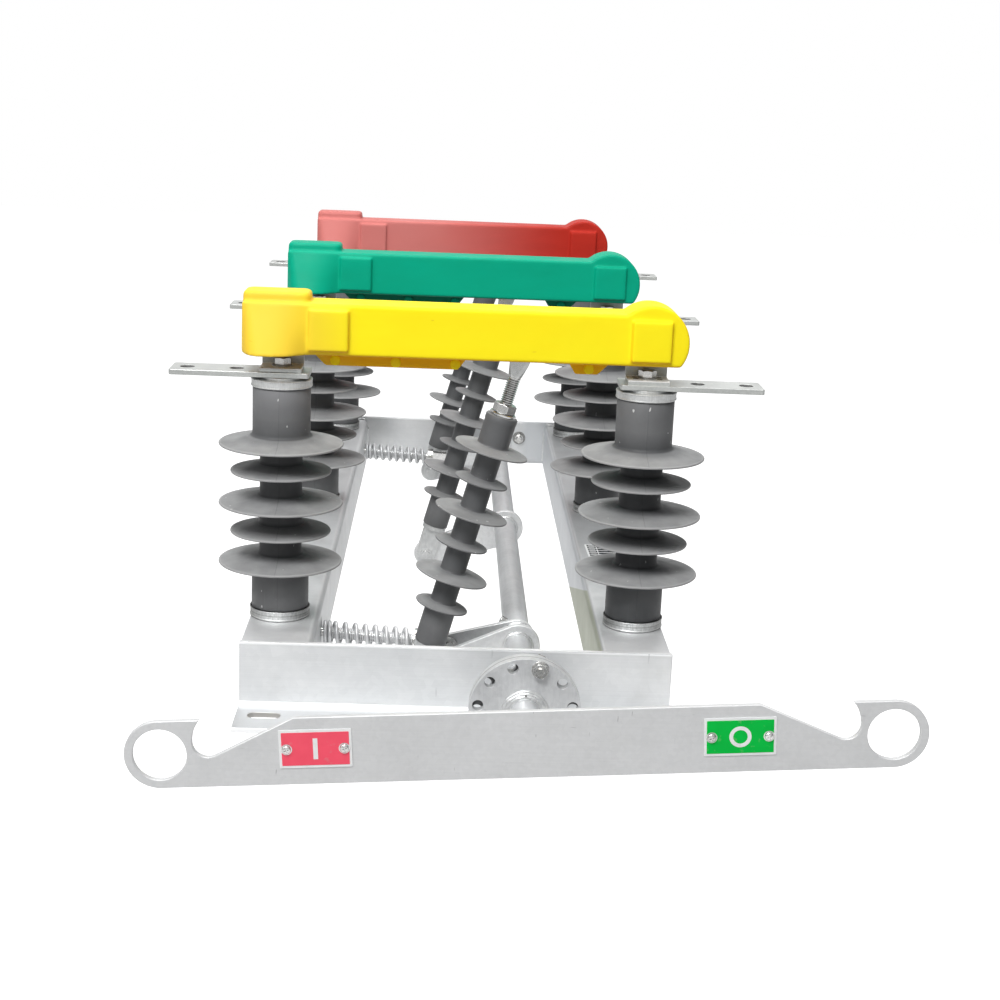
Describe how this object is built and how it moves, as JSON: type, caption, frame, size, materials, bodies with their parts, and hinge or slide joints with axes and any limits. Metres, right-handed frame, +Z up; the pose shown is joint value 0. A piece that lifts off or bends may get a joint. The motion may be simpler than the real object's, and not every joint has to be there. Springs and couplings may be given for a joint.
{
  "type": "substation disconnect switch",
  "caption": "Three-pole outdoor disconnect switch: ribbed insulator posts on a folded steel frame, covered blades, pull rods, and an operating lever on a common shaft.",
  "frame": {"origin": "middle of the underside of the front foot, where the frame is bolted down", "axes": "+X from the contact side to the hinge side, +Y from the operating lever towards the rear pole, +Z up"},
  "size_m": [0.6864, 1.2859, 0.3981],
  "materials": {
    "galvanised_steel": "satin",
    "zinc_plated_steel": "satin",
    "silicone_rubber": "matte",
    "copper_strip": "tinned copper",
    "tinned_copper": "satin",
    "spring_steel": "polished",
    "cover_yellow": "semi-gloss",
    "cover_green": "semi-gloss",
    "cover_red": "semi-gloss"
  },
  "bodies": {
    "frame": {"front_cross_member": "galvanised_steel", "rear_cross_member": "galvanised_steel", "left_side_member": "galvanised_steel", "right_side_member": "galvanised_steel", "front_bearing": "zinc_plated_steel", "rear_bearing": "zinc_plated_steel", "contact_post_1": "silicone_rubber", "contact_post_2": "silicone_rubber", "contact_post_3": "silicone_rubber", "hinge_post_1": "silicone_rubber", "hinge_post_2": "silicone_rubber", "hinge_post_3": "silicone_rubber", "post_base_flanges": "zinc_plated_steel", "post_top_caps": "zinc_plated_steel", "contact_terminals": "tinned_copper", "hinge_terminals": "tinned_copper", "contact_jaws": "tinned_copper", "hinge_brackets": "tinned_copper"},
    "shaft": {"shaft_tube": "zinc_plated_steel", "crank_1": "zinc_plated_steel", "crank_2": "zinc_plated_steel", "crank_3": "zinc_plated_steel", "spring_arms": "zinc_plated_steel", "shaft_flange": "galvanised_steel", "lever_flange": "galvanised_steel", "lever_stub": "galvanised_steel", "lever_bar": "galvanised_steel"},
    "blade_1": {"blade_1": "copper_strip", "cover_yellow": "cover_yellow"},
    "pull_rod_1": {"pull_rod_1": "silicone_rubber", "rod_fork_1": "zinc_plated_steel", "rod_eye_1": "zinc_plated_steel"},
    "blade_2": {"blade_2": "copper_strip", "cover_green": "cover_green"},
    "pull_rod_2": {"pull_rod_2": "silicone_rubber", "rod_fork_2": "zinc_plated_steel", "rod_eye_2": "zinc_plated_steel"},
    "blade_3": {"blade_3": "copper_strip", "cover_red": "cover_red"},
    "pull_rod_3": {"pull_rod_3": "silicone_rubber", "rod_fork_3": "zinc_plated_steel", "rod_eye_3": "zinc_plated_steel"},
    "spring_strut_front": {"spring_guide_front": "zinc_plated_steel", "spring_front": "spring_steel"},
    "spring_strut_rear": {"spring_guide_rear": "zinc_plated_steel", "spring_rear": "spring_steel"}
  },
  "joints": [
    {"name": "main_shaft", "type": "hinge", "parent": "frame", "child": "shaft", "pos_m": [0.062, 0, 0.036], "axis": [0, 1, 0], "range_deg": [0, 60]},
    {"name": "blade_pivot_1", "type": "hinge", "parent": "frame", "child": "blade_1", "pos_m": [0.175, 0.1295, 0.349], "axis": [0, 1, 0], "range_deg": [0, 50.4]},
    {"name": "rod_pin_1", "type": "hinge", "parent": "shaft", "child": "pull_rod_1", "pos_m": [-0.036, 0.1295, 0], "axis": [0, 1, 0], "range_deg": [-57.2, 0]},
    {"name": "blade_pivot_2", "type": "hinge", "parent": "frame", "child": "blade_2", "pos_m": [0.175, 0.5795, 0.349], "axis": [0, 1, 0], "range_deg": [0, 50.4]},
    {"name": "rod_pin_2", "type": "hinge", "parent": "shaft", "child": "pull_rod_2", "pos_m": [-0.036, 0.5795, 0], "axis": [0, 1, 0], "range_deg": [-57.2, 0]},
    {"name": "blade_pivot_3", "type": "hinge", "parent": "frame", "child": "blade_3", "pos_m": [0.175, 1.0295, 0.349], "axis": [0, 1, 0], "range_deg": [0, 50.4]},
    {"name": "rod_pin_3", "type": "hinge", "parent": "shaft", "child": "pull_rod_3", "pos_m": [-0.036, 1.0295, 0], "axis": [0, 1, 0], "range_deg": [-57.2, 0]},
    {"name": "spring_pin_front", "type": "hinge", "parent": "shaft", "child": "spring_strut_front", "pos_m": [-0.006, 0.1595, 0.026], "axis": [0, 1, 0], "range_deg": [-83, 0], "deforming": ["spring_front"]},
    {"name": "spring_pin_rear", "type": "hinge", "parent": "shaft", "child": "spring_strut_rear", "pos_m": [-0.006, 0.9995, 0.026], "axis": [0, 1, 0], "range_deg": [-83, 0], "deforming": ["spring_rear"]}
  ],
  "couplings": [
    {"joint": "blade_pivot_1", "follows": "main_shaft", "ratio": 0.838},
    {"joint": "rod_pin_1", "follows": "main_shaft", "ratio": -0.9516},
    {"joint": "blade_pivot_2", "follows": "main_shaft", "ratio": 0.838},
    {"joint": "rod_pin_2", "follows": "main_shaft", "ratio": -0.9516},
    {"joint": "blade_pivot_3", "follows": "main_shaft", "ratio": 0.838},
    {"joint": "rod_pin_3", "follows": "main_shaft", "ratio": -0.9516},
    {"joint": "spring_pin_front", "follows": "main_shaft", "ratio": -1.38},
    {"joint": "spring_pin_rear", "follows": "main_shaft", "ratio": -1.38}
  ]
}
